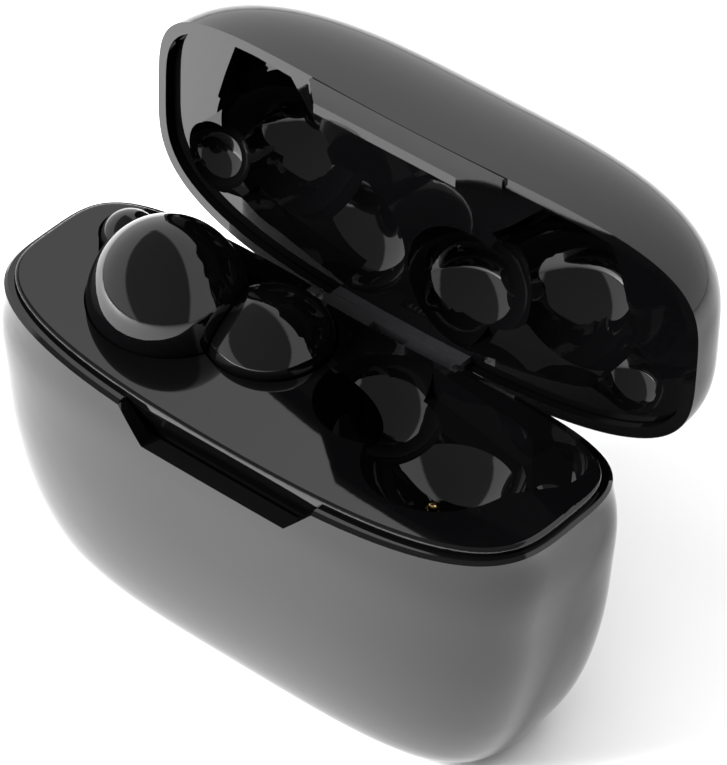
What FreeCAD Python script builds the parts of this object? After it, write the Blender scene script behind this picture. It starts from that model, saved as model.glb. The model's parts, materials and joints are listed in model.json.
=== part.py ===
import FreeCAD, Part
import math
import os
import Sketcher

# Wireless earbuds case with its lid open and one earbud in the left socket.
# Frame: origin at the centre of the flat rest face, +X along the case, -Y the front with the
# finger notch, +Z up. Millimetres. Everything is modelled with the lid closed, then the lid's
# pieces are turned about the hinge pin to the open rest pose.

V = FreeCAD.Vector
doc = FreeCAD.newDocument("earbuds_case")

# ---------------------------------------------------------------- driving dimensions
DIMENSIONS = {
    # closed outer form
    "caselength": 66.0,
    "casedepth": 25.2,
    "outlinepower": 3.65,
    "profilepower": 2.5,
    "equatorheight": 31.9,
    "endround": 10.9,
    "sideround": 5.0,
    "sidebulge": 0.45,
    "lidequator": 31.2,
    "lidtop": 43.9,
    "lidendround": 21.5,
    "lidsideround": 6.2,
    "wallthickness": 2.0,
    # curved parting line: lowest in the middle, higher at the ends
    "rimheight": 29.3,
    "rimrise": 2.6,
    "rimgap": 0.15,
    "rimchamfer": 0.35,
    # deck
    "deckinset": 1.3,
    "deckproud": 0.7,
    "deckthickness": 1.5,
    "decklip": 3.2,
    "cupwall": 0.9,
    "deckround": 0.35,
    # sockets, right-hand side, mirrored for the left
    "tiphollowx": 7.0,
    "tiphollowy": 3.4,
    "tiphollowradius": 6.6,
    "tipdepth": 6.0,
    "bodyhollowx": 17.2,
    "bodyhollowy": 0.45,
    "bodyhollowradius": 8.0,
    "bodydepth": 7.2,
    "stemhollowx": 25.6,
    "stemhollowy": 5.0,
    "stemhollowradius": 3.5,
    "stemdepth": 4.2,
    "tipwellx": 3.25,
    "tipwelly": 3.3,
    "tipwellradius": 3.0,
    "tipwelldepth": 8.6,
    "webdepth": 3.4,
    "neckdepth": 2.2,
    # hollows in the lid over the same places
    "lidhollowgrow": 0.2,
    "lidtipdepth": 6.4,
    "lidbodydepth": 10.0,
    "lidstemdepth": 3.4,
    "lidfrontdepth": 5.0,
    # finger notch in front
    "notchdepth": 3.2,
    "notchbottom": 17.6,
    "notchtop": 23.8,
    "notchback": 8.0,
    "notchwallinset": 0.95,
    "notchwallthickness": 1.0,
    # lid
    "lidwall": 1.1,
    "linerrecess": 1.1,
    "linerplate": 1.3,
    "linercup": 0.8,
    "openangle": 92.5,
    # hinge
    "hingey": 11.8,
    "hingez": 27.5,
    "pinradius": 0.45,
    "pinlength": 19.0,
    "knuckleradius": 1.0,
    "hingeblockwidth": 16.2,
    "armthickness": 0.7,
    "armheight": 9.5,
    "armscrewx": 1.7,
    "armscrewheight": 7.5,
    "springslot": 4.4,
    "earwidth": 1.2,
    "earbottom": 22.4,
    "earheadradius": 1.8,
    "gapfront": 10.4,
    "gapbelow": 1.4,
    "shankradius": 0.6,
    "springwire": 0.13,
    "springmean": 0.72,
    "springturns": 5.0,
    "springpitch": 0.6,
    "springleg": 1.3,
    # magnets
    "magnetradius": 2.0,
    "magnetheight": 1.5,
    "magnetx": 5.0,
    "magnety": -7.2,
    "holdmagnetradius": 1.5,
    "holdmagnetheight": 1.2,
    "holdmagnetx": 22.7,
    "holdmagnety": -0.9,
    "holdmagnetz": 22.25,
    # electronics
    "boardlength": 41.0,
    "boardwidth": 17.0,
    "boardthickness": 1.0,
    "boardheight": 13.2,
    "boardscrewinset": 2.4,
    "pillarradius": 1.5,
    "portheight": 15.82,
    "portwidth": 9.0,
    "portthickness": 3.2,
    "buttonx": 13.0,
    "buttonradius": 2.0,
    "lightx": -12.0,
    "lightradius": 0.8,
    "buttonback": 9.45,
    "buttonproud": 0.05,
    "collarstep": 0.6,
    "collarthickness": 0.7,
    "lightback": 8.3,
    "portinset": 0.5,
    "portdepth": 7.3,
    "portmetal": 0.3,
    "tonguewidth": 6.7,
    "tonguethickness": 0.7,
    "tonguelength": 5.1,
    "chargechipside": 4.0,
    "controlchipside": 5.0,
    "chipheight": 0.9,
    "inductorradius": 2.0,
    "inductorheight": 1.6,
    "switchwidth": 3.5,
    "switchdepth": 1.8,
    "switchheight": 3.0,
    "ledwidth": 1.6,
    "leddepth": 0.8,
    "ledheight": 2.4,
    "sensorwidth": 2.9,
    "sensordepth": 1.3,
    "sensorheight": 1.0,
    "flexwidth": 2.6,
    "flexheight": 14.1,
    "cellround": 2.4,
    "padthickness": 0.7,
    "celllength": 32.0,
    "cellwidth": 13.0,
    "cellthickness": 7.6,
    "tabthickness": 0.15,
    # spring contact pins
    "pogospacing": 3.2,
    "pogoy": 0.45,
    "pogoradius": 0.45,
    "pogobarrel": 0.7,
    "pogoproud": 0.55,
    "plungerlength": 3.6,
    "holderlength": 6.4,
    "holderwidth": 3.2,
    # earbud in the left socket
    "budradius": 7.85,
    "buddome": 8.8,
    "buddepth": 7.0,
    "budwall": 0.9,
    "loberadius": 6.3,
    "lobedome": 4.3,
    "lobedepth": 5.7,
    "stemradius": 3.0,
    "contactradius": 0.88,
    "contactheight": 0.6,
    "driverradius": 4.2,
    "driverheight": 2.4,
    "budcellradius": 4.6,
    "budcellheight": 3.6,
}

sheet = doc.addObject("Spreadsheet::Sheet", "dimensions")
for row, (alias, value) in enumerate(DIMENSIONS.items(), start=1):
    sheet.set("A%d" % row, alias)
    sheet.set("B%d" % row, str(value))
    sheet.setAlias("B%d" % row, alias)
doc.recompute()


def size(alias):
    return float(sheet.get(alias))


HALF_LENGTH = size("caselength") / 2
HALF_DEPTH = size("casedepth") / 2
RIM_RADIUS = (HALF_LENGTH ** 2 + size("rimrise") ** 2) / (2 * size("rimrise"))
DECK_TOP = size("rimheight") + size("deckproud")
HINGE = V(0, size("hingey"), size("hingez"))
OUTLINE_POINTS = 40
LOFT_STEPS = 9
FAR = 80.0
TOUCH = 0.02  # between pieces that sit against each other
EASE = 0.1  # round a piece that slides or drops in

NODES = []


def node(item, label=None):
    """Marks a document object as one of the kept pieces."""
    if label:
        item.Label = label
    NODES.append(item)
    return item


def feature(label, shape):
    """A piece whose shape is worked out from the sheet."""
    item = doc.addObject("Part::Feature", label)
    item.Shape = shape
    return node(item, label)


# ---------------------------------------------------------------- form of the case
def superellipse(half_x, half_y, height):
    """Closed outline of the case at one height."""
    power = size("outlinepower")
    points = []
    for k in range(OUTLINE_POINTS):
        turn = 2 * math.pi * k / OUTLINE_POINTS
        c, s = math.cos(turn), math.sin(turn)
        stretch = (abs(c) ** power + abs(s) ** power) ** (-1 / power)
        points.append(V(half_x * c * stretch, half_y * s * stretch, height))
    curve = Part.BSplineCurve()
    curve.interpolate(points, PeriodicFlag=True)
    return Part.Wire(curve.toShape())


def round_over(fraction):
    """Share of the rounding used up at this fraction of the rounded height."""
    power = size("profilepower")
    return 1 - (1 - min(1.0, max(0.0, fraction)) ** power) ** (1 / power)


def base_outline(height, inset=0.0):
    down = 1 - (height - inset) / (size("equatorheight") - inset)
    bulge = size("sidebulge") * math.sin(math.pi * min(1.0, max(0.0, down)))
    half_x = HALF_LENGTH - inset - size("endround") * round_over(down)
    half_y = HALF_DEPTH - inset - size("sideround") * round_over(down) + bulge
    return superellipse(half_x, half_y, height)


def lid_outline(height, inset=0.0):
    up = (height - size("lidequator")) / (size("lidtop") - inset - size("lidequator"))
    half_x = HALF_LENGTH - inset - size("lidendround") * round_over(up)
    half_y = HALF_DEPTH - inset - size("lidsideround") * round_over(up)
    return superellipse(half_x, half_y, height)


def base_form(inset=0.0):
    """Lower pebble, from the rest face to a little above the rim."""
    top = size("equatorheight") + 1.5
    turns = [math.pi / 2 * k / LOFT_STEPS for k in range(LOFT_STEPS + 1)]
    levels = [inset + (top - inset) * (1 - math.cos(turn)) for turn in turns]
    return Part.makeLoft([base_outline(z, inset) for z in levels], True)


def lid_form(inset=0.0):
    """Upper pebble, from below the rim to the top."""
    low = size("rimheight") - 1.0
    high = size("lidtop") - inset
    turns = [math.pi / 2 * k / LOFT_STEPS for k in range(LOFT_STEPS + 1)]
    levels = [low + (high - low) * math.sin(turn) for turn in turns]
    return Part.makeLoft([lid_outline(z, inset) for z in levels], True)


def above_rim(offset=0.0):
    """Space above the curved parting surface, moved up by offset."""
    radius = RIM_RADIUS - offset
    centre = V(0, -FAR / 2, size("rimheight") + RIM_RADIUS)
    return Part.makeCylinder(radius, FAR, centre, V(0, 1, 0))


def box(x0, x1, y0, y1, z0, z1):
    return Part.makeBox(x1 - x0, y1 - y0, z1 - z0, V(x0, y0, z0))


def rod(radius, start, length, direction=V(0, 0, 1)):
    return Part.makeCylinder(radius, length, start, direction)


def prism(points, direction):
    """Straight prism of a polygon."""
    return Part.Face(Part.makePolygon(points + [points[0]])).extrude(direction)


def notch_prism(clearance=0.0, reach=0.0):
    """Trapezoid of the finger notch, seen from the front; reach lengthens it upwards."""
    floor = size("rimheight") - size("notchdepth") + clearance
    half_low = size("notchbottom") / 2 - clearance
    half_high = size("notchtop") / 2 - clearance
    top = size("rimheight") + reach
    points = [V(-half_low, -FAR, floor), V(half_low, -FAR, floor), V(half_high, -FAR, size("rimheight")),
              V(half_high, -FAR, top + 0.01), V(-half_high, -FAR, top + 0.01),
              V(-half_high, -FAR, size("rimheight"))]
    return prism(points, V(0, FAR - size("notchback"), 0))


# ---------------------------------------------------------------- hollows for the earbuds
def ellipsoid(centre, radii):
    matrix = FreeCAD.Matrix()
    matrix.scale(radii[0], radii[1], radii[2])
    shape = Part.makeSphere(1.0).transformGeometry(matrix)
    shape.translate(centre)
    return shape


def rim_lift(x):
    """How much higher the curved parting surface is at this distance from the middle."""
    return RIM_RADIUS - math.sqrt(RIM_RADIUS ** 2 - x ** 2)


def socket_hollow(face_height, direction, grow=0.0):
    """Right-hand hollow under (direction -1) or over (+1) a face: tip, body and stem spaces."""
    in_lid = direction > 0
    wider = grow + (size("lidhollowgrow") if in_lid else 0)
    prefix = "lid" if in_lid else ""
    centres = {}
    radii = {}
    pieces = []
    for part in ("tip", "body", "stem"):
        x = size(part + "hollowx")
        centres[part] = V(x, size(part + "hollowy"), face_height + rim_lift(x))
        radii[part] = size(part + "hollowradius") + wider
        depth = size(prefix + part + "depth") + grow
        pieces.append(ellipsoid(centres[part], (radii[part], radii[part], depth)))
    tip, body, stem = centres["tip"], centres["body"], centres["stem"]

    def level_cut(corners, depth):
        """Space with upright walls under a polygon of the face."""
        overrun = 3.5
        low = [V(p.x, p.y, face_height - direction * overrun) for p in corners]
        pieces.append(prism(low, V(0, 0, direction * (depth + overrun))))

    # web between the tip and body spaces on the hinge side, and the neck to the stem space
    shoulder = body + V(4.5, radii["body"] - 1.05, 0)
    level_cut([tip, tip + V(0.6, radii["tip"] - 0.05, 0), body + V(-0.8, radii["body"] + 0.05, 0), shoulder, body],
              size("webdepth") + grow)
    level_cut([body, shoulder, stem + V(0.1, radii["stem"], 0), stem + V(radii["stem"] * 0.9, -1.6, 0),
               body + V(6.6, -2.6, 0)], size("neckdepth") + grow)
    if in_lid:
        # the body space runs on to the front wall of the lid
        level_cut([body, body + V(-7.4, -5.2, 0), body + V(-5.3, -7.05, 0), body + V(-1.95, -10.6, 0),
                   body + V(5.55, -10.4, 0), body + V(7.0, -6.25, 0), body + V(8.0, -3.0, 0)],
                  size("lidfrontdepth") + grow)
    else:
        mouth = V(size("tipwellx"), size("tipwelly"), face_height)
        pieces.append(rod(size("tipwellradius") + grow, mouth, size("tipwelldepth") + grow, V(0, 0, -1)))
    return pieces[0].fuse(pieces[1:]).removeSplitter()


def both_sides(shape):
    return shape.fuse(shape.mirror(V(0, 0, 0), V(1, 0, 0)))


# ---------------------------------------------------------------- lower half
PORT_SIDE = size("portwidth") / 2 - size("portthickness") / 2
HINGE_HALF = size("hingeblockwidth") / 2
EAR_INNER = HINGE_HALF + 0.2
EAR_OUTER = EAR_INNER + size("earwidth")
EAR_FRONT = size("hingey") - 0.9
BOARD_TOP = size("boardheight") + size("boardthickness")
BOARD_SCREWS = [(side * (size("boardlength") / 2 - size("boardscrewinset")),
                 -size("boardwidth") / 2 + size("boardscrewinset")) for side in (-1, 1)]


def hinge_gap():
    """Opening in the back wall for the hinge block and its ears."""
    half = EAR_OUTER + EASE
    return box(-half, half, size("gapfront"), FAR, size("hingez") - size("gapbelow"), size("rimheight") + 4)


def ears(clearance):
    """The two blocks in the back wall that carry the hinge pin."""
    blocks = []
    for low in (-EAR_OUTER, EAR_INNER):
        blocks.append(box(low - clearance, low + size("earwidth") + clearance, EAR_FRONT - clearance,
                          HALF_DEPTH + clearance, size("earbottom") - clearance, size("hingez")))
    return blocks


def slot_prism(half_width, half_height, y0, y1, centre_z):
    """Rounded slot along Y, such as the mouth of the charging port."""
    shape = box(-half_width, half_width, y0, y1, centre_z - half_height, centre_z + half_height)
    for side in (-1, 1):
        shape = shape.fuse(Part.makeCylinder(half_height, y1 - y0, V(side * half_width, y0, centre_z), V(0, 1, 0)))
    return shape.removeSplitter()


def board_pillars():
    """Four pillars that carry the circuit board; the two in front take its screws."""
    pillars = []
    for x, y in BOARD_SCREWS:
        foot = V(x, y, size("wallthickness") / 2)
        height = size("boardheight") - foot.z
        front = rod(size("pillarradius"), foot, height)
        pillars.append(front.cut(rod(SCREW_SHANK + TOUCH, V(x, y, size("boardheight") - 4), 5)))
        pillars.append(rod(size("pillarradius"), V(x, -y, foot.z), height))
    return pillars


def base_shell():
    shell = base_form().cut(above_rim())
    rim_edges = [e for e in shell.Edges if e.BoundBox.ZMin > size("rimheight") - 0.2]
    shell = shell.makeChamfer(size("rimchamfer"), rim_edges)
    cavity = base_form(size("wallthickness"))
    rebate = Part.Face(superellipse(HALF_LENGTH - size("deckinset") + 0.05,
                                    HALF_DEPTH - size("deckinset") + 0.05, 20.0)).extrude(V(0, 0, 20))
    rebate = rebate.common(above_rim(-size("decklip")))
    inside = 8.0
    port = slot_prism(PORT_SIDE, size("portthickness") / 2 + EASE, inside, FAR, size("portheight"))
    button = rod(size("buttonradius") + 0.12, V(size("buttonx"), inside, size("portheight")), FAR, V(0, 1, 0))
    light = rod(size("lightradius") + TOUCH, V(size("lightx"), inside, size("portheight")), FAR, V(0, 1, 0))
    shell = shell.cut([cavity, rebate, notch_prism(reach=3.0), hinge_gap(), port, button, light] + ears(TOUCH))
    return shell.fuse([pillar.common(base_form(0.5)) for pillar in board_pillars()])


def cradle_deck():
    inset = size("deckinset")
    outline = Part.Face(superellipse(HALF_LENGTH - inset, HALF_DEPTH - inset, 20.0)).extrude(V(0, 0, 20))
    inner = Part.Face(superellipse(HALF_LENGTH - inset - 2.0, HALF_DEPTH - inset - 2.0, 20.0)).extrude(V(0, 0, 20))
    under_plate = above_rim(size("deckproud") - size("deckthickness"))
    skirt = outline.common(above_rim(0.05 - size("decklip"))).cut(inner.cut(under_plate))
    cups = both_sides(socket_hollow(DECK_TOP, -1, size("cupwall"))).common(base_form(size("wallthickness") + 0.1))
    deck = skirt.fuse(cups).cut(above_rim(size("deckproud")))
    edges = [e for e in deck.Edges if on_outline(e, HALF_LENGTH - inset, HALF_DEPTH - inset) and
             e.BoundBox.ZMin > DECK_TOP - 0.1]
    deck = deck.makeFillet(size("deckround"), edges)
    front = HALF_DEPTH - inset
    floor = size("rimheight") - size("notchdepth") - 0.1
    wedge = prism([V(-12, -front - 0.01, DECK_TOP - 0.5), V(-12, -front + 1.1, floor),
                   V(-12, -front - 2, floor), V(-12, -front - 2, DECK_TOP - 0.5)], V(24, 0, 0))
    # wall behind the notch, so that the board stays out of sight
    behind = front - size("notchwallinset")
    deck = deck.fuse(box(-12, 12, -behind, size("notchwallthickness") - behind, floor - 1.5, DECK_TOP - 0.5))
    for side in (-1, 1):
        place = V(side * size("holdmagnetx"), size("holdmagnety"), size("holdmagnetz"))
        deck = deck.fuse(rod(size("holdmagnetradius") + 0.7, place, 3.5))
        deck = deck.cut(rod(size("holdmagnetradius") + TOUCH, place, size("holdmagnetheight") + TOUCH))
    hinge_room = box(-EAR_OUTER - 0.3, EAR_OUTER + 0.3, 10.6, 20, 15, 40)
    pins = [rod(size("pogobarrel") + 0.05, V(x, y, BOARD_TOP), 12) for x, y in pogo_places(-1) + pogo_places(1)]
    for tool in [both_sides(socket_hollow(DECK_TOP, -1)), wedge, hinge_room] + pins:
        deck = deck.cut(tool)
    return deck


def on_outline(edge, half_x, half_y):
    """True if the middle of an edge lies on the outline of these half sizes."""
    power = size("outlinepower")
    middle = edge.valueAt((edge.FirstParameter + edge.LastParameter) / 2)
    reach = (abs(middle.x) / half_x) ** power + (abs(middle.y) / half_y) ** power
    return abs(reach - 1) < 0.01


def pogo_places(side):
    """Contact pins of one socket, in plan."""
    half = size("pogospacing") / 2
    return [(side * (size("bodyhollowx") + step), size("pogoy")) for step in (-half, half)]


def ear_blocks():
    """Hinge ears: slab in the wall slot with a rounded head round the pin bore."""
    blocks = []
    for block in ears(0.0):
        low = block.BoundBox.XMin
        head = rod(size("earheadradius"), V(low, HINGE.y, HINGE.z), size("earwidth"), V(1, 0, 0))
        head = head.common(box(low, low + size("earwidth"), EAR_FRONT, HALF_DEPTH, HINGE.z - 3, HINGE.z + 3))
        bore = rod(size("pinradius"), V(low - 1, HINGE.y, HINGE.z), 5, V(1, 0, 0))
        blocks.append(block.fuse(head).cut(bore).removeSplitter())
    return blocks


# ---------------------------------------------------------------- lid
ARM_BACK = size("hingey") - 0.36
ARM_FRONT = ARM_BACK - size("armthickness")
ARM_TOP = size("hingez") + size("armheight")
ARM_SCREWS = [V(side * size("armscrewx"), ARM_BACK, size("hingez") + size("armscrewheight")) for side in (-1, 1)]
SCREW_SHANK = size("shankradius")
LID_FACE = size("rimheight") + size("linerrecess")


def lid_shell():
    """Outer lid with the front tab, and a shallow bed behind for the hinge arm and its screw heads."""
    outer = lid_form().common(above_rim(size("rimgap")))
    shell = outer.cut(lid_form(size("lidwall")))
    tab = base_form().cut(base_form(size("lidwall"))).common(notch_prism(0.25, reach=1.5))
    shell = shell.fuse(tab).removeSplitter()
    bed = box(-HINGE_HALF - 0.1, HINGE_HALF + 0.1, ARM_FRONT, ARM_BACK + 0.05, size("hingez"), ARM_TOP + 0.1)
    for tool in [bed] + [rod(1.1, place, 0.36, V(0, 1, 0)) for place in ARM_SCREWS]:
        shell = shell.cut(tool)
    return shell


def lid_liner():
    """Inner face of the lid with the hollows over the earbuds, the magnet seats and a screw boss."""
    recess = size("linerrecess")
    room = lid_form(size("lidwall") + 0.12)
    plate = room.common(above_rim(recess)).cut(above_rim(recess + size("linerplate")))
    cups = both_sides(socket_hollow(LID_FACE, 1, size("linercup"))).common(room).common(above_rim(recess))
    boss = box(-3.2, 3.2, ARM_FRONT - 3.1, ARM_FRONT - 0.02, LID_FACE, LID_FACE + 7.0)
    magnets = [V(side * size("magnetx"), size("magnety"), LID_FACE + 0.8) for side in (-1, 1)]
    seats = [rod(size("magnetradius") + 0.7, place, size("magnetheight") + 0.4) for place in magnets]
    liner = plate.fuse([cups, boss] + seats)
    arm_room = box(-HINGE_HALF - 0.2, HINGE_HALF + 0.2, ARM_FRONT - 0.02, 20, 25, 45)
    holes = [rod(SCREW_SHANK + 0.01, place, 4, V(0, -1, 0)) for place in ARM_SCREWS]
    pockets = [rod(size("magnetradius") + 0.02, place, size("magnetheight") + 0.5) for place in magnets]
    for tool in [both_sides(socket_hollow(LID_FACE, 1)), arm_room] + holes + pockets:
        liner = liner.cut(tool)
    return liner


def open_lid(item):
    """Turns a closed lid piece about the hinge pin to the open rest pose."""
    turn = FreeCAD.Placement(V(0, 0, 0), FreeCAD.Rotation(V(1, 0, 0), -size("openangle")), HINGE)
    item.Placement = turn.multiply(item.Placement)
    return item


# ---------------------------------------------------------------- earbud in the left socket
BUD = V(-size("bodyhollowx"), size("bodyhollowy"), DECK_TOP + rim_lift(size("bodyhollowx")))
LOBE = V(-size("tiphollowx"), size("tiphollowy"), DECK_TOP)
STEM = V(-size("stemhollowx") - 0.2, size("stemhollowy") - 0.35, DECK_TOP + 1.2)
SOCKET_FLOOR = BUD.z - size("bodydepth")


def domed(centre, radius, up, down):
    """Round body with a taller or lower half above the level of its centre than below it."""
    upper = ellipsoid(centre, (radius, radius, up)).common(box(-40, 40, -40, 40, centre.z, 60))
    lower = ellipsoid(centre, (radius, radius, down)).common(box(-40, 40, -40, 40, 0, centre.z))
    return upper.fuse(lower)


def bud_body(grow=0.0):
    return domed(BUD, size("budradius") + grow, size("buddome") + grow, size("buddepth") + grow)


def bud_lobe():
    return domed(LOBE, size("loberadius"), size("lobedome"), size("lobedepth"))


def earbud_cover():
    """Domed outer half of the main housing, a shell."""
    return bud_body().cut(bud_body(-size("budwall"))).common(box(-40, 0, -20, 20, BUD.z, 45))


def earbud_base():
    """Lower half of the main housing, with two holes for the charge contacts."""
    lower = bud_body().cut(bud_body(-size("budwall"))).common(box(-40, 0, -20, 20, 15, BUD.z - 0.03))
    for x, y in pogo_places(-1):
        lower = lower.cut(rod(size("contactradius") + TOUCH, V(x, y, SOCKET_FLOOR - 1), 3))
    return lower


def earbud_lobe():
    """Smaller housing over the sound tube, cut off where it meets the main housing."""
    return bud_lobe().cut(bud_body(0.25))


def earbud_stem():
    """Rounded stem end in the outer rear corner, flush against the main housing."""
    root = BUD + V(-3.0, 2.0, 0.2)
    axis = STEM - root
    end = Part.makeSphere(size("stemradius"))
    end.Placement = FreeCAD.Placement(STEM, FreeCAD.Rotation(V(0, 0, 1), axis))
    stem = rod(size("stemradius") - 0.3, root, axis.Length, axis).fuse(end)
    return stem.cut(bud_body(TOUCH))


def revolved(points, centre):
    """Solid of revolution about a vertical line through centre; points are (radius, height)."""
    corners = [V(r, 0, z) for r, z in points]
    shape = Part.Face(Part.makePolygon(corners + [corners[0]])).revolve(V(0, 0, 0), V(0, 0, 1), 360)
    shape.translate(centre)
    return shape


TUBE_TOP = V(-size("tipwellx"), size("tipwelly"), DECK_TOP - 4.6)


def sound_tube():
    """Short tube with a small collar that holds the ear tip."""
    tube = revolved([(0.9, -3.4), (1.5, -3.4), (1.5, -3.0), (1.25, -3.0), (1.25, 2), (0.9, 2)], TUBE_TOP)
    return tube.cut(bud_lobe())


def ear_tip():
    """Silicone mushroom that points down into the tip well."""
    profile = [(1.27, -2.95), (1.55, -2.95), (1.55, -3.45), (1.9, -3.5), (2.4, -3.1), (2.7, -2.2), (2.75, -1.0),
               (2.75, 2), (2.45, 2), (2.4, -1.0), (2.3, -1.9), (1.9, -2.5), (1.27, -2.55)]
    return revolved(profile, TUBE_TOP).cut(bud_lobe())


# ---------------------------------------------------------------- bound primitives and bodies
def bound(item, **expressions):
    """Binds sizes and the place of a primitive to the sheet."""
    for name, text in expressions.items():
        path = {"x": "Placement.Base.x", "y": "Placement.Base.y", "z": "Placement.Base.z"}.get(name, name)
        for alias in sorted(DIMENSIONS, key=len, reverse=True):
            text = text.replace("#" + alias, "dimensions." + alias)
        item.setExpression(path, text)
    return item


def box_piece(label, **expressions):
    return node(bound(doc.addObject("Part::Box", label), **expressions), label)


def rod_piece(label, direction, **expressions):
    item = doc.addObject("Part::Cylinder", label)
    item.Placement = FreeCAD.Placement(V(0, 0, 0), FreeCAD.Rotation(V(0, 0, 1), direction))
    return node(bound(item, **expressions), label)


def plane_of(body, role):
    return next(f for f in body.Origin.OriginFeatures if f.Role == role)


def sketch_on(body, role, name):
    sketch = body.newObject("Sketcher::SketchObject", name)
    sketch.AttachmentSupport = (plane_of(body, role), [""])
    sketch.MapMode = "FlatFace"
    return sketch


def closed_lines(sketch, points):
    """Closed chain of straight lines through (x, y) points."""
    first = sketch.GeometryCount
    corners = [V(x, y, 0) for x, y in points]
    for a, b in zip(corners, corners[1:] + corners[:1]):
        sketch.addGeometry(Part.LineSegment(a, b))
    count = len(points)
    for k in range(count):
        sketch.addConstraint(Sketcher.Constraint("Coincident", first + k, 2, first + (k + 1) % count, 1))
    return first


def pad(body, sketch, name, length, symmetric=True):
    item = body.newObject("PartDesign::Pad", name)
    item.Profile = sketch
    item.Midplane = symmetric
    item.setExpression("Length", length)
    return item


def pocket_through(body, sketch, name, length):
    item = body.newObject("PartDesign::Pocket", name)
    item.Profile = sketch
    item.Midplane = True
    item.setExpression("Length", length)
    return item


def hinge_block():
    """Block on the lid with a rounded knuckle, a pin bore and a slot for the spring."""
    body = doc.addObject("PartDesign::Body", "lid_hinge_block")
    y, z, r = size("hingey"), size("hingez"), size("knuckleradius")
    outline = sketch_on(body, "YZ_Plane", "block_outline")
    rim = size("rimheight")
    closed_lines(outline, [(y - r, z), (y + r, z), (y + r, rim), (ARM_BACK, rim), (ARM_BACK, ARM_TOP),
                           (ARM_FRONT, ARM_TOP), (ARM_FRONT, rim), (y - r, rim)])
    pad(body, outline, "block_pad", "dimensions.hingeblockwidth")
    knuckle = sketch_on(body, "YZ_Plane", "knuckle_outline")
    knuckle.addGeometry(Part.Circle(V(y, z, 0), V(0, 0, 1), r))
    knuckle.addConstraint(Sketcher.Constraint("Radius", 0, r))
    knuckle.setExpression("Constraints[0]", "dimensions.knuckleradius")
    pad(body, knuckle, "knuckle_pad", "dimensions.hingeblockwidth")
    bore = sketch_on(body, "YZ_Plane", "bore_outline")
    bore.addGeometry(Part.Circle(V(y, z, 0), V(0, 0, 1), 0.5))
    bore.addConstraint(Sketcher.Constraint("Radius", 0, 0.5))
    bore.setExpression("Constraints[0]", "dimensions.pinradius + 0.04")
    pocket_through(body, bore, "pin_bore", "dimensions.hingeblockwidth + 2")
    slot = sketch_on(body, "YZ_Plane", "slot_outline")
    closed_lines(slot, [(y - 2, z - 2), (y + 2, z - 2), (y + 2, z + 1.1), (y - 2, z + 1.1)])
    pocket_through(body, slot, "spring_slot", "dimensions.springslot")
    holes = sketch_on(body, "XZ_Plane", "screw_holes")
    for side in (-1, 1):
        centre = V(side * size("armscrewx"), z + size("armscrewheight"), 0)
        holes.addGeometry(Part.Circle(centre, V(0, 0, 1), SCREW_SHANK + 0.02))
    pocket_through(body, holes, "screw_pocket", "40")
    return node(body, "lid_hinge_block")


def charging_board():
    """Board on the four pillars of the lower shell, with holes for its two screws."""
    body = doc.addObject("PartDesign::Body", "charging_board")
    outline = sketch_on(body, "XY_Plane", "board_outline")
    x, y = size("boardlength") / 2, size("boardwidth") / 2
    closed_lines(outline, [(-x, -y + 2), (-x + 2, -y), (x - 2, -y), (x, -y + 2), (x, y), (-x, y)])
    pad(body, outline, "board_pad", "dimensions.boardthickness", False)
    holes = sketch_on(body, "XY_Plane", "board_holes")
    for px, py in BOARD_SCREWS:
        holes.addGeometry(Part.Circle(V(px, py, 0), V(0, 0, 1), 0.8))
    pocket_through(body, holes, "board_hole_pocket", "10")
    bound(body, z="#boardheight")
    return node(body, "charging_board")


def screws(places, direction, head_radius, head_height, shank_radius, shank_length):
    """Group of equal screws; places are the undersides of the heads."""
    solids = []
    for place in places:
        head = Part.makeCylinder(head_radius, head_height, place, direction)
        head = head.cut(Part.makeBox(head_radius * 3, 0.3, 0.3, V(-head_radius * 1.5, -0.15, -0.3)).transformed(
            FreeCAD.Placement(place + direction * head_height,
                              FreeCAD.Rotation(V(0, 0, 1), direction)).toMatrix()))
        shank = Part.makeCylinder(shank_radius, shank_length, place, direction * -1)
        solids.append(head.fuse(shank).removeSplitter())
    return Part.makeCompound(solids)


def hinge_spring():
    """Torsion spring bent from one wire: coils round the pin, and a leg that stands on the rear wall."""
    length = size("springturns") * size("springpitch")
    coils = Part.makeHelix(size("springpitch"), length, size("springmean"))
    first = coils.Edges[0]
    start = first.valueAt(first.FirstParameter)
    along = first.tangentAt(first.FirstParameter)
    foot = start - along * size("springleg")
    spine = Part.Wire([Part.LineSegment(foot, start).toShape()] + coils.Edges)
    section = Part.Wire(Part.Circle(foot, along, size("springwire")).toShape())
    spring = spine.makePipeShell([section], True, True)
    spring.rotate(V(0, 0, 0), V(0, 1, 0), 90)
    spring.rotate(V(0, 0, 0), V(1, 0, 0), 90)
    spring.translate(HINGE + V(-length / 2, 0, 0))
    return spring


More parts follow.
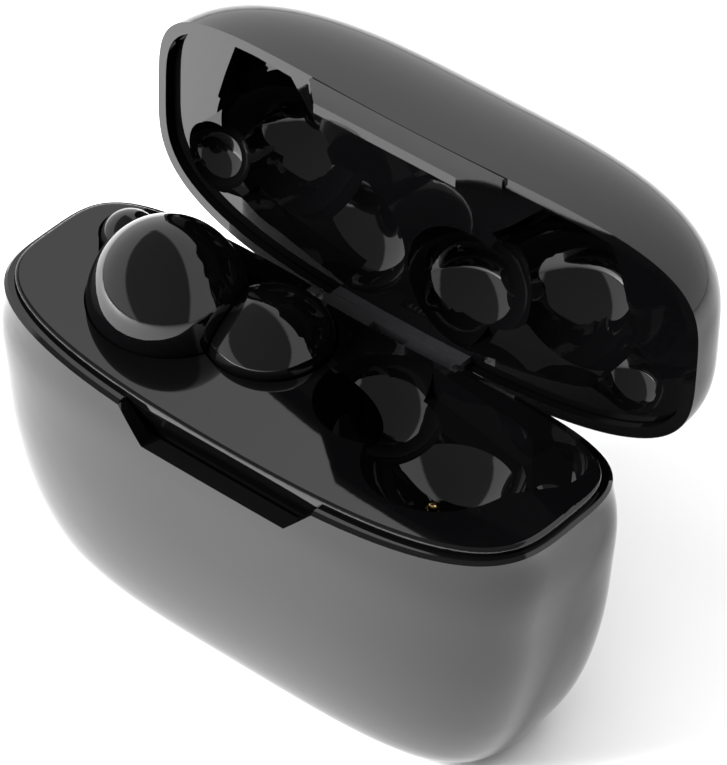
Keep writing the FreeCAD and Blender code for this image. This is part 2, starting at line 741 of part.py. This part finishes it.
def case_electronics():
    top = "#boardheight + #boardthickness"
    box_piece("charge_chip", Length="#chargechipside", Width="#chargechipside", Height="#chipheight",
              x="-12", y="-3", z=top)
    box_piece("control_chip", Length="#controlchipside", Width="#controlchipside", Height="#chipheight",
              x="3", y="-6", z=top)
    rod_piece("power_inductor", V(0, 0, 1), Radius="#inductorradius", Height="#inductorheight",
              x="-3", y="-4", z=top)
    box_piece("tact_switch", Length="#switchwidth", Width="#switchdepth", Height="#switchheight",
              x="#buttonx - #switchwidth / 2", y="#buttonback - #switchdepth - 0.45", z=top)
    box_piece("status_led", Length="#ledwidth", Width="#leddepth", Height="#ledheight",
              x="#lightx - #ledwidth / 2", y="#lightback - #leddepth - 0.1", z=top)
    box_piece("hall_sensor", Length="#sensorwidth", Width="#sensordepth", Height="#sensorheight",
              x="-#sensorwidth / 2", y="-8.3", z="#rimheight + #deckproud - #deckthickness - #sensorheight - 0.02")
    box_piece("sensor_flex", Length="#flexwidth", Width="#tabthickness", Height="#flexheight",
              x="-#flexwidth / 2", y="-8.3 - #tabthickness", z=top)
    box_piece("battery_pad", Length="#celllength - 4", Width="#cellwidth - 2", Height="#padthickness",
              x="-(#celllength - 4) / 2", y="-(#cellwidth - 2) / 2", z="#wallthickness + 0.05")


def cell_tabs():
    """Two nickel strips that run from the cell's end up to the board."""
    start = size("celllength") / 2
    low = size("wallthickness") + size("padthickness") + size("cellthickness") / 2
    strips = [box(start, start + size("tabthickness"), y - 1, y + 1, low, size("boardheight")) for y in (-2.2, 2.2)]
    return Part.makeCompound(strips)


def battery_cell():
    """Flat cell with rounded long edges, standing on its foam pad."""
    body = doc.addObject("PartDesign::Body", "battery_cell")
    outline = sketch_on(body, "YZ_Plane", "cell_outline")
    y, z = size("cellwidth") / 2, size("cellthickness") / 2
    closed_lines(outline, [(-y, -z), (y, -z), (y, z), (-y, z)])
    cell = pad(body, outline, "cell_pad", "dimensions.celllength")
    doc.recompute()
    rounding = body.newObject("PartDesign::Fillet", "cell_rounding")
    edges = ["Edge%d" % (k + 1) for k, e in enumerate(cell.Shape.Edges)
             if e.BoundBox.XLength > size("celllength") - 0.1]
    rounding.Base = (cell, edges)
    rounding.Radius = size("cellround")
    bound(body, z="#wallthickness + #padthickness + 0.05 + #cellthickness / 2")
    return node(body, "battery_cell")


def usb_socket():
    """Metal shroud and the tongue inside it, facing the rear wall."""
    mouth, middle = HALF_DEPTH - size("portinset"), size("portheight")
    outside = size("portthickness") / 2
    back = mouth - size("portdepth") + 1.0
    outer = slot_prism(PORT_SIDE, outside, mouth - size("portdepth"), mouth, middle)
    inner = slot_prism(PORT_SIDE, outside - size("portmetal"), back, mouth + 1, middle)
    half_x, half_z = size("tonguewidth") / 2, size("tonguethickness") / 2
    tongue = box(-half_x, half_x, back, back + size("tonguelength"), middle - half_z, middle + half_z)
    feature("usb_c_shroud", outer.cut(inner))
    feature("usb_c_tongue", tongue)


def button_piece():
    """Round pairing button in the rear wall with a collar inside."""
    face = HALF_DEPTH + size("buttonproud")
    back = size("buttonback")
    centre = V(size("buttonx"), back, size("portheight"))
    cap = rod(size("buttonradius"), centre, face - back, V(0, 1, 0))
    cap = cap.makeFillet(0.3, [e for e in cap.Edges if e.BoundBox.YMin > face - 0.01])
    collar = rod(size("buttonradius") + size("collarstep"), centre, size("collarthickness"), V(0, 1, 0))
    feature("pairing_button", cap.fuse(collar).removeSplitter())


def light_guide():
    rod_piece("light_guide", V(0, 1, 0), Radius="#lightradius", Height="#casedepth / 2 - #lightback",
              x="#lightx", y="#lightback", z="#portheight")


def pogo_set(side, name, pressed):
    """Holder block on the board with two barrels under one socket, and their plungers."""
    places = pogo_places(side)
    middle = side * size("bodyhollowx")
    under_cup = SOCKET_FLOOR - size("cupwall")
    half_x, half_y = size("holderlength") / 2, size("holderwidth") / 2
    block = box(middle - half_x, middle + half_x, size("pogoy") - half_y, size("pogoy") + half_y,
                BOARD_TOP, under_cup - TOUCH)
    barrel_top = SOCKET_FLOOR - 0.6
    spring_room = 5.0
    barrels = []
    for x, y in places:
        block = block.cut(rod(size("pogobarrel") + TOUCH, V(x, y, BOARD_TOP - 1), FAR))
        barrel = rod(size("pogobarrel"), V(x, y, BOARD_TOP), barrel_top - BOARD_TOP)
        barrels.append(barrel.cut(rod(size("pogoradius") + 0.05, V(x, y, barrel_top - spring_room), 9)))
    feature("pogo_holder_" + name, block)
    feature("pogo_barrels_" + name, Part.makeCompound(barrels))
    for k, (x, y) in enumerate(places):
        top = contact_height(x, y) - 0.01 if pressed else SOCKET_FLOOR + size("pogoproud")
        plunger = rod(size("pogoradius"), V(x, y, top - size("plungerlength")), size("plungerlength"))
        plunger = plunger.makeFillet(0.25, [e for e in plunger.Edges if e.BoundBox.ZMin > top - 0.01])
        feature("pogo_plunger_%s_%d" % (name, k + 1), plunger)


def magnet_pair(label, radius, height, x, y, z):
    return feature(label, Part.makeCompound([rod(radius, V(side * x, y, z), height) for side in (-1, 1)]))


def earbud_inside():
    """Speaker, cell and charge contacts of the seated earbud."""
    feature("earbud_driver", rod(size("driverradius"), BUD + V(1.2, 0.4, -3.5), size("driverheight")))
    feature("earbud_cell", rod(size("budcellradius"), BUD + V(0, 0, 0.4), size("budcellheight")))
    pads = [rod(size("contactradius"), V(x, y, contact_height(x, y)), size("contactheight"))
            for x, y in pogo_places(-1)]
    feature("earbud_contacts", Part.makeCompound(pads))


def contact_height(x, y):
    """Height of the housing's underside over a point in plan."""
    reach = 1 - ((x - BUD.x) ** 2 + (y - BUD.y) ** 2) / size("budradius") ** 2
    return BUD.z - size("buddepth") * math.sqrt(reach) - TOUCH


# ---------------------------------------------------------------- all the pieces
fixed_pieces = {
    "base_shell": base_shell(),
    "cradle_deck": cradle_deck(),
    "hinge_ears": Part.makeCompound(ear_blocks()),
    "hinge_spring": hinge_spring(),
    "board_screws": screws([V(x, y, BOARD_TOP) for x, y in BOARD_SCREWS], V(0, 0, 1), 1.4, 0.7, SCREW_SHANK, 3.0),
    "cell_tabs": cell_tabs(),
    "earbud_cover": earbud_cover(),
    "earbud_base": earbud_base(),
    "earbud_lobe": earbud_lobe(),
    "earbud_stem": earbud_stem(),
    "sound_tube": sound_tube(),
    "ear_tip": ear_tip(),
}
lid_pieces = {
    "lid_shell": lid_shell(),
    "lid_liner": lid_liner(),
    "lid_hinge_screws": screws(ARM_SCREWS, V(0, 1, 0), 1.0, 0.3, SCREW_SHANK, 3.0),
}
for label, shape in fixed_pieces.items():
    feature(label, shape)
for label, shape in lid_pieces.items():
    open_lid(feature(label, shape))
open_lid(hinge_block())
open_lid(magnet_pair("lid_magnets", size("magnetradius"), size("magnetheight"), size("magnetx"), size("magnety"),
                     LID_FACE + 0.81))
magnet_pair("base_magnets", size("magnetradius"), size("magnetheight"), size("magnetx"), size("magnety"),
            DECK_TOP - size("deckthickness") - size("magnetheight") - 0.02)
magnet_pair("earbud_hold_magnets", size("holdmagnetradius"), size("holdmagnetheight"), size("holdmagnetx"),
            size("holdmagnety"), size("holdmagnetz"))
rod_piece("hinge_pin", V(1, 0, 0), Radius="#pinradius", Height="#pinlength", x="-#pinlength / 2",
          y="#hingey", z="#hingez")
charging_board()
battery_cell()
case_electronics()
usb_socket()
button_piece()
light_guide()
pogo_set(-1, "left", True)
pogo_set(1, "right", False)
earbud_inside()


def check():
    for item in doc.Objects:
        if "Invalid" in item.State or "Error" in item.State:
            raise RuntimeError("failed: " + item.Label)
    for item in NODES:
        if item.Shape.isNull() or not item.Shape.isValid():
            raise RuntimeError("bad shape: " + item.Label)


doc.recompute()
check()
os.makedirs("parts", exist_ok=True)
for item in NODES:
    item.Shape.exportStep("parts/%s.step" % item.Label)
    print(item.Label, len(item.Shape.Solids), round(item.Shape.Volume, 1))
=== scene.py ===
import json
import math

import bpy
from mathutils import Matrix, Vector

# Wireless earbuds case, open, on a pale floor. Metres, in the CAD frame: origin at the centre of the
# rest face, +X along the case, -Y the front with the finger notch, +Z up.

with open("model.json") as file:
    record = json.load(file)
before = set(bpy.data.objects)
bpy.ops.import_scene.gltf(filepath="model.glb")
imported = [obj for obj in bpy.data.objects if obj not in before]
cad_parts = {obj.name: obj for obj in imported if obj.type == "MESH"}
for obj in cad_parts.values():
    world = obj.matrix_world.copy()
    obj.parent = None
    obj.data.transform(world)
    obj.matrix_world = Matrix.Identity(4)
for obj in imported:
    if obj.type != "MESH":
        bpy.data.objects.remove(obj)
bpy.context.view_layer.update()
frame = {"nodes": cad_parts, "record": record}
NODES = frame["nodes"]
SLOT_OF = {part["node"]: part["material_slot"] for part in frame["record"]["subparts"]}

MM = 0.001

# camera: the point it looks at, its direction from there, its distance in metres, its lens in mm
AIM = Vector((5.4455, 2.4494, 31.9)) * MM
VIEW_AZIMUTH = math.radians(40.452)
VIEW_ELEVATION = math.radians(40.660)
VIEW_DISTANCE = 0.5
LENS = 253.5
SENSOR = 36

# tent: its brightness, that of its dark panel, and the two planes through the case that bound the panel
TENT_LIGHT = 1.3
PANEL_LIGHT = 0.25
PANEL_SOFTNESS = 0.03
PANEL_SIDES = [(-0.319, -0.893, 0.313), (0.634, -0.014, 0.759)]

# lamps that light the floor, in metres and watts
KEY = {"place": (-0.35, -0.45, 0.30), "target": (-0.02, -0.03, 0), "side": 0.3, "power": 17}
FILL = {"place": (0.1, 0.0, 0.7), "target": (0, 0, 0), "side": 0.7, "power": 4}

FLOOR_HALF = 1.2
FLOOR_DROP = 0.02 * MM  # below the rest face, so that the two don't flicker


# ---------------------------------------------------------------- shader helpers
class Recipe:
    """A node material with a principled shader, and short calls for the nodes that feed it."""

    def __init__(self, name):
        self.material = bpy.data.materials.new(name)
        self.material.use_nodes = True
        self.tree = self.material.node_tree
        self.shader = self.tree.nodes["Principled BSDF"]
        self.place = self.add("ShaderNodeTexCoord").outputs["Object"]

    def add(self, kind, **values):
        node = self.tree.nodes.new(kind)
        for key, value in values.items():
            if hasattr(node, key):
                setattr(node, key, value)
            else:
                node.inputs[key].default_value = value
        return node

    def link(self, source, target):
        self.tree.links.new(source, target)

    def set(self, **values):
        for key, value in values.items():
            self.shader.inputs[key.replace("_", " ")].default_value = value

    def noise(self, scale, detail=4.0, stretch=(1, 1, 1)):
        mapping = self.add("ShaderNodeMapping")
        mapping.inputs["Scale"].default_value = stretch
        self.link(self.place, mapping.inputs["Vector"])
        noise = self.add("ShaderNodeTexNoise", Scale=scale, Detail=detail)
        self.link(mapping.outputs["Vector"], noise.inputs["Vector"])
        return noise.outputs["Fac"]

    def ranged(self, source, low, high, start=0.3, end=0.7):
        node = self.add("ShaderNodeMapRange")
        node.inputs["From Min"].default_value = start
        node.inputs["From Max"].default_value = end
        node.inputs["To Min"].default_value = low
        node.inputs["To Max"].default_value = high
        self.link(source, node.inputs["Value"])
        return node.outputs["Result"]

    def tint(self, source, dark, light):
        ramp = self.add("ShaderNodeMix", data_type="RGBA")
        ramp.inputs["A"].default_value = (*dark, 1)
        ramp.inputs["B"].default_value = (*light, 1)
        self.link(source, ramp.inputs["Factor"])
        self.link(ramp.outputs["Result"], self.shader.inputs["Base Color"])

    def rough(self, source, low, high):
        self.link(self.ranged(source, low, high), self.shader.inputs["Roughness"])

    def bump(self, source, depth):
        node = self.add("ShaderNodeBump", Distance=depth)
        self.link(source, node.inputs["Height"])
        self.link(node.outputs["Normal"], self.shader.inputs["Normal"])


# ---------------------------------------------------------------- materials
def piano_black(name, polish=0.02, haze=0.05):
    """Polished black plastic with a faint haze of handling marks."""
    look = Recipe(name)
    look.set(IOR=1.5, Specular_IOR_Level=0.5)
    smudge = look.noise(60, 6)
    look.tint(smudge, (0.0006, 0.0006, 0.0007), (0.0014, 0.0014, 0.0016))
    look.rough(smudge, polish, haze)
    look.bump(look.noise(900, 2), 0.6e-6)
    return look.material


def fine_black():
    """Black plastic with a fine matt texture."""
    look = Recipe("fine_matte_black")
    grain = look.noise(3000, 3)
    look.tint(grain, (0.010, 0.010, 0.011), (0.022, 0.022, 0.024))
    look.rough(grain, 0.38, 0.52)
    look.bump(grain, 8e-6)
    return look.material


def metal(name, dark, light, low, high, stretch=(1, 1, 1)):
    """Bare or plated metal; stretch drags the grain out along one axis."""
    look = Recipe(name)
    look.set(Metallic=1.0)
    grain = look.noise(2500, 4, stretch)
    look.tint(grain, dark, light)
    look.rough(grain, low, high)
    look.bump(grain, 2e-6)
    return look.material


def board_green():
    """Solder mask over the weave of a circuit board."""
    look = Recipe("solder_mask")
    weave = look.noise(1800, 3)
    look.tint(weave, (0.004, 0.035, 0.018), (0.010, 0.060, 0.030))
    look.rough(weave, 0.25, 0.4)
    look.bump(weave, 6e-6)
    return look.material


def film_wrap():
    """Wrinkled film round the rechargeable cell."""
    look = Recipe("cell_film")
    wrinkle = look.noise(350, 4, (1, 3, 3))
    look.tint(wrinkle, (0.05, 0.09, 0.17), (0.09, 0.14, 0.24))
    look.rough(wrinkle, 0.25, 0.45)
    look.bump(wrinkle, 30e-6)
    return look.material


def soft(name, dark, light, low, high, depth):
    """Foam or silicone; depth is the height of the grain."""
    look = Recipe(name)
    grain = look.noise(2200, 4)
    look.tint(grain, dark, light)
    look.rough(grain, low, high)
    look.bump(grain, depth)
    return look.material


def frosted_light():
    """Milky plastic of the charge light."""
    look = Recipe("frosted_light")
    grain = look.noise(2600, 3)
    look.tint(grain, (0.62, 0.62, 0.60), (0.78, 0.78, 0.76))
    look.rough(grain, 0.35, 0.5)
    look.bump(grain, 3e-6)
    look.set(Subsurface_Weight=0.15, Subsurface_Scale=0.4 * MM)
    return look.material


LOOKS = {
    "gloss_black": piano_black("piano_black"),
    "matte_black": fine_black(),
    "steel": metal("satin_steel", (0.42, 0.42, 0.44), (0.6, 0.6, 0.62), 0.22, 0.38, (1, 8, 8)),
    "gold_contact": metal("gold_plate", (0.75, 0.50, 0.20), (0.90, 0.66, 0.30), 0.15, 0.28),
    "magnet": metal("nickel_plate", (0.50, 0.50, 0.50), (0.66, 0.65, 0.63), 0.12, 0.24),
    "board": board_green(),
    "cell_wrap": film_wrap(),
    "foam": soft("cell_foam", (0.03, 0.03, 0.03), (0.06, 0.06, 0.06), 0.8, 0.95, 60e-6),
    "silicone": soft("silicone", (0.004, 0.004, 0.004), (0.009, 0.009, 0.009), 0.3, 0.42, 4e-6),
    "light": frosted_light(),
}


def dress(piece, material):
    """Gives a piece one material."""
    piece.data.materials.clear()
    piece.data.materials.append(material)


for name, piece in NODES.items():
    dress(piece, LOOKS[SLOT_OF[name]])
    for polygon in piece.data.polygons:
        polygon.use_smooth = True


# ---------------------------------------------------------------- floor, light and camera
def studio_floor():
    """Pale matt sheet under the case."""
    mesh = bpy.data.meshes.new("studio_floor")
    corners = [(-1, -1), (1, -1), (1, 1), (-1, 1)]
    mesh.from_pydata([(x * FLOOR_HALF, y * FLOOR_HALF, -FLOOR_DROP) for x, y in corners], [], [(0, 1, 2, 3)])
    floor = bpy.data.objects.new("studio_floor", mesh)
    bpy.context.scene.collection.objects.link(floor)
    look = Recipe("pale_floor")
    speck = look.noise(40, 5)
    look.tint(speck, (0.86, 0.86, 0.86), (0.89, 0.89, 0.89))
    look.rough(speck, 0.6, 0.7)
    dress(floor, look.material)


def floor_light(name, place, target, side, power):
    """Square soft lamp that lights the floor but is not mirrored in the gloss."""
    data = bpy.data.lights.new(name, "AREA")
    data.shape = "RECTANGLE"
    data.size = side
    data.size_y = side
    data.energy = power
    lamp = bpy.data.objects.new(name, data)
    bpy.context.scene.collection.objects.link(lamp)
    lamp.location = place
    lamp.rotation_euler = (Vector(target) - Vector(place)).to_track_quat("-Z", "Y").to_euler()
    lamp.visible_glossy = False


def studio_sky():
    """Pale tent with one dark panel overhead; its reflection is the dark band down the earbud's dome."""
    world = bpy.data.worlds.new("studio_sky")
    bpy.context.scene.world = world
    world.use_nodes = True
    tree = world.node_tree
    direction = tree.nodes.new("ShaderNodeTexCoord").outputs["Generated"]

    def beyond(normal):
        """1 on the side of a plane through the case that normal points to, 0 on the other."""
        dot = tree.nodes.new("ShaderNodeVectorMath")
        dot.operation = "DOT_PRODUCT"
        dot.inputs[1].default_value = normal
        tree.links.new(direction, dot.inputs[0])
        edge = tree.nodes.new("ShaderNodeMapRange")
        edge.inputs["From Min"].default_value = -PANEL_SOFTNESS
        edge.inputs["From Max"].default_value = PANEL_SOFTNESS
        tree.links.new(dot.outputs["Value"], edge.inputs["Value"])
        return edge.outputs["Result"]

    panel = tree.nodes.new("ShaderNodeMath")
    panel.operation = "MULTIPLY"
    for slot, normal in enumerate(PANEL_SIDES):
        tree.links.new(beyond(normal), panel.inputs[slot])
    strength = tree.nodes.new("ShaderNodeMapRange")
    strength.inputs["To Min"].default_value = TENT_LIGHT
    strength.inputs["To Max"].default_value = PANEL_LIGHT
    tree.links.new(panel.outputs["Value"], strength.inputs["Value"])
    tree.links.new(strength.outputs["Result"], tree.nodes["Background"].inputs["Strength"])
    tree.nodes["Background"].inputs["Color"].default_value = (1, 1, 1, 1)


def camera():
    """Long lens at the photograph's angle."""
    back = Vector((math.sin(VIEW_AZIMUTH) * math.cos(VIEW_ELEVATION),
                   -math.cos(VIEW_AZIMUTH) * math.cos(VIEW_ELEVATION),
                   math.sin(VIEW_ELEVATION)))
    data = bpy.data.cameras.new("camera")
    data.sensor_fit = "AUTO"
    data.sensor_width = SENSOR
    data.lens = LENS
    data.clip_start = 0.01
    eye = bpy.data.objects.new("camera", data)
    bpy.context.scene.collection.objects.link(eye)
    eye.location = AIM + back * VIEW_DISTANCE
    eye.rotation_euler = (-back).to_track_quat("-Z", "Y").to_euler()
    bpy.context.scene.camera = eye


studio_floor()
studio_sky()
floor_light("floor_key", **KEY)
floor_light("floor_fill", **FILL)
camera()
bpy.context.scene.view_settings.view_transform = "Standard"
